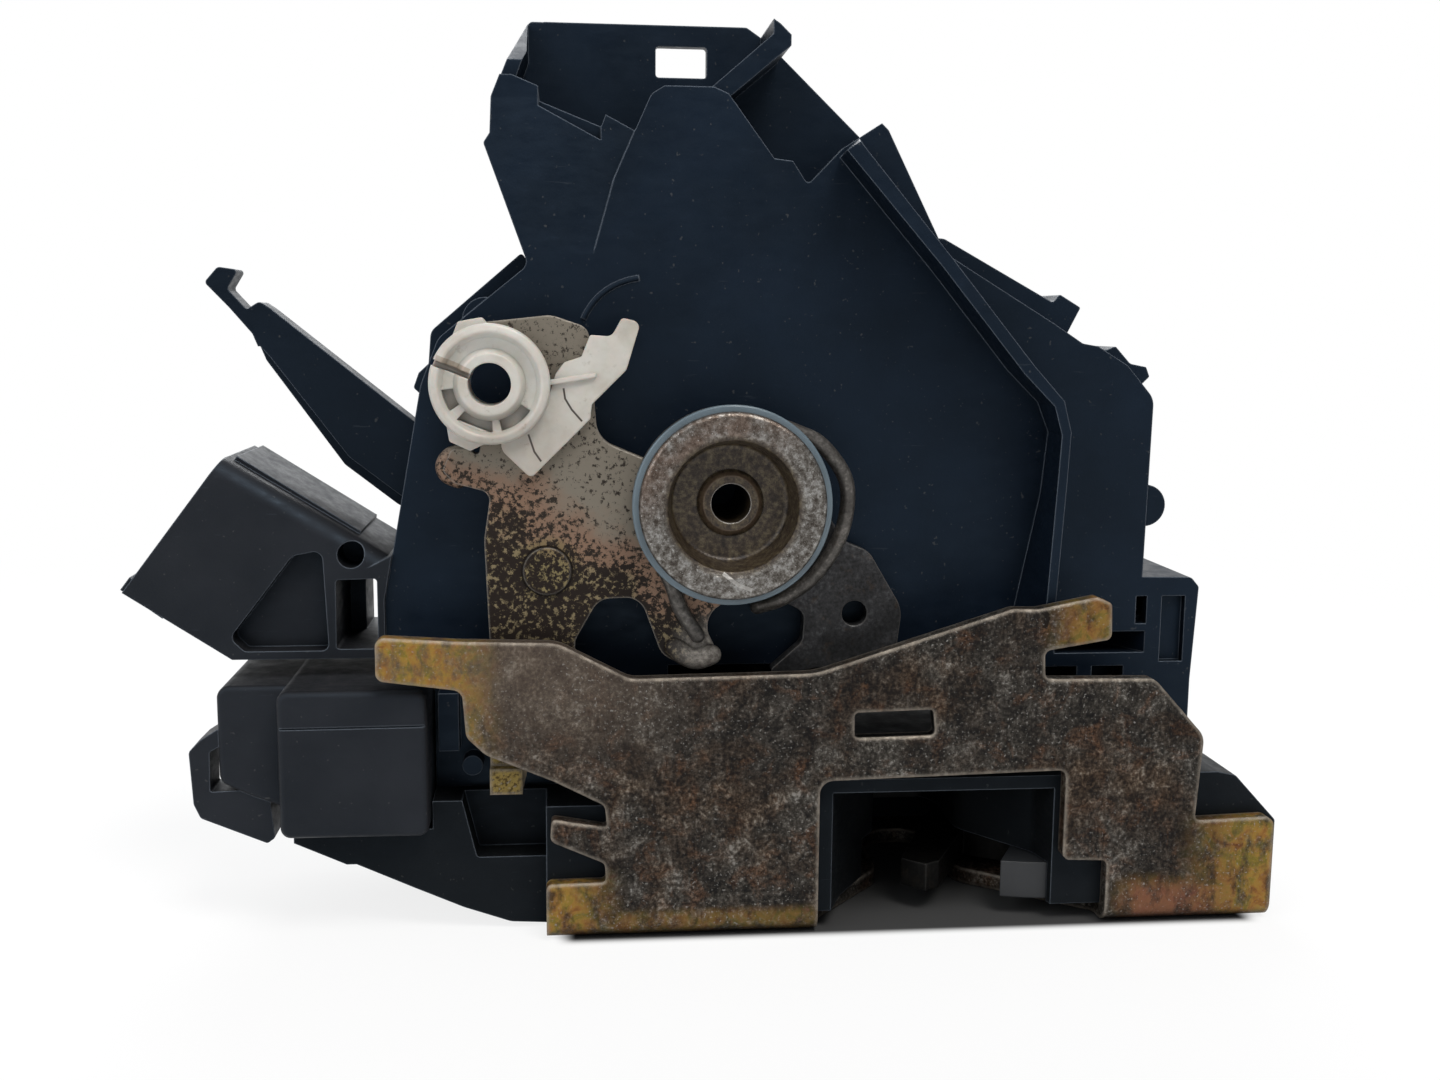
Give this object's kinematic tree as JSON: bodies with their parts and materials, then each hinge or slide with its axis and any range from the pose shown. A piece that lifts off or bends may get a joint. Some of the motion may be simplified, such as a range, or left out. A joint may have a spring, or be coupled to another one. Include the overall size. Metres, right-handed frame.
{
  "type": "car door lock",
  "caption": "Car door latch with a folded steel end plate, striker mouth, rotating claw and pawl, sprung release levers and a geared lock lever in a moulded black housing.",
  "frame": {"origin": "middle of the striker mouth on the shut face, at the front of the folded flange", "axes": "+X runs along the shut face away from the connector, +Y goes from the cabin side into the door, +Z rises from the shut face into the door"},
  "size_m": [0.1709, 0.049, 0.1331],
  "materials": {
    "black_plastic": "moulded black",
    "brass": "satin",
    "cream_plastic": "moulded cream",
    "gear_plastic": "moulded natural",
    "grey_plastic": "moulded blue-grey",
    "plated_steel": "worn yellow passivated zinc",
    "rubber": "matte",
    "spring_steel": "drawn wire",
    "yellow_zinc": "yellow passivated zinc",
    "zinc_steel": "worn zinc"
  },
  "bodies": {
    "case": {"end_plate": "plated_steel", "latch_case": "black_plastic", "back_plate": "zinc_steel", "mouth_buffer": "rubber", "claw_pin": "zinc_steel", "pawl_pin": "zinc_steel", "pivot_rivet": "zinc_steel", "cup_washer": "zinc_steel", "spring_spool": "grey_plastic", "lever_spacer": "grey_plastic", "front_housing": "black_plastic", "rear_cover": "black_plastic", "wheel_axle": "zinc_steel", "lock_pin": "zinc_steel", "motor_can": "zinc_steel", "motor_end_cap": "grey_plastic", "motor_cover": "black_plastic", "connector_housing": "black_plastic", "connector_terminals": "brass", "claw_spring": "spring_steel", "pawl_spring": "spring_steel", "return_spring": "spring_steel", "cover_screws": "zinc_steel", "door_switch": "grey_plastic", "lead_strips": "brass"},
    "claw": {"claw": "zinc_steel", "claw_jacket": "grey_plastic"},
    "pawl": {"pawl": "zinc_steel", "pawl_lug": "zinc_steel"},
    "inside_lever": {"inside_release_lever": "plated_steel", "lever_stud": "plated_steel"},
    "lock_link": {"lock_link": "yellow_zinc"},
    "rod_clip": {"rod_clip": "cream_plastic"},
    "outside_lever": {"outside_release_lever": "zinc_steel"},
    "lock_lever": {"lock_lever": "black_plastic"},
    "worm_wheel": {"worm_wheel": "gear_plastic"},
    "worm_shaft": {"motor_worm": "brass"}
  },
  "joints": [
    {"name": "claw_turn", "type": "hinge", "parent": "case", "child": "claw", "pos_m": [0.0185, 0.0305, 0.0055], "axis": [0, 0, -1], "range_deg": [0, 62], "stiffness_Nm_per_rad": 0.02, "springref_deg": -34.38, "deforming": ["claw_spring"]},
    {"name": "pawl_turn", "type": "hinge", "parent": "case", "child": "pawl", "pos_m": [-0.022, 0.018, 0.0055], "axis": [0, 0, 1], "range_deg": [-16, 0], "deforming": ["pawl_spring"]},
    {"name": "inside_release", "type": "hinge", "parent": "case", "child": "inside_lever", "pos_m": [-0.032, 0.006, 0.0633], "axis": [0, 1, 0], "range_deg": [0, 12], "stiffness_Nm_per_rad": 0.2, "springref_deg": -22.92, "deforming": ["return_spring"]},
    {"name": "lock_link_swing", "type": "hinge", "parent": "inside_lever", "child": "lock_link", "pos_m": [-0.0578, 0.008, 0.0533], "axis": [0, -1, 0], "range_deg": [0, 5]},
    {"name": "rod_clip_swivel", "type": "hinge", "parent": "inside_lever", "child": "rod_clip", "pos_m": [-0.0654, 0.005, 0.0798], "axis": [0, 1, 0], "range_deg": [-20, 20]},
    {"name": "outside_release", "type": "hinge", "parent": "case", "child": "outside_lever", "pos_m": [-0.032, 0.01, 0.0633], "axis": [0, 1, 0], "range_deg": [0, 12], "stiffness_Nm_per_rad": 0.2, "springref_deg": -22.92},
    {"name": "lock_turn", "type": "hinge", "parent": "case", "child": "lock_lever", "pos_m": [-0.051, 0.028, 0.06143], "axis": [0, 1, 0], "range_deg": [0, 15]},
    {"name": "wheel_turn", "type": "hinge", "parent": "case", "child": "worm_wheel", "pos_m": [-0.058, 0.022, 0.0427], "axis": [0, 1, 0], "range_deg": [-45, 0]},
    {"name": "worm_turn", "type": "hinge", "parent": "case", "child": "worm_shaft", "pos_m": [-0.058, 0.022, 0.0257], "axis": [1, 0, 0], "range_deg": [-1260, 0]}
  ],
  "couplings": [
    {"joint": "wheel_turn", "follows": "lock_turn", "ratio": -3},
    {"joint": "worm_turn", "follows": "lock_turn", "ratio": -84},
    {"joint": "lock_link_swing", "follows": "lock_turn", "ratio": 0.33333}
  ]
}
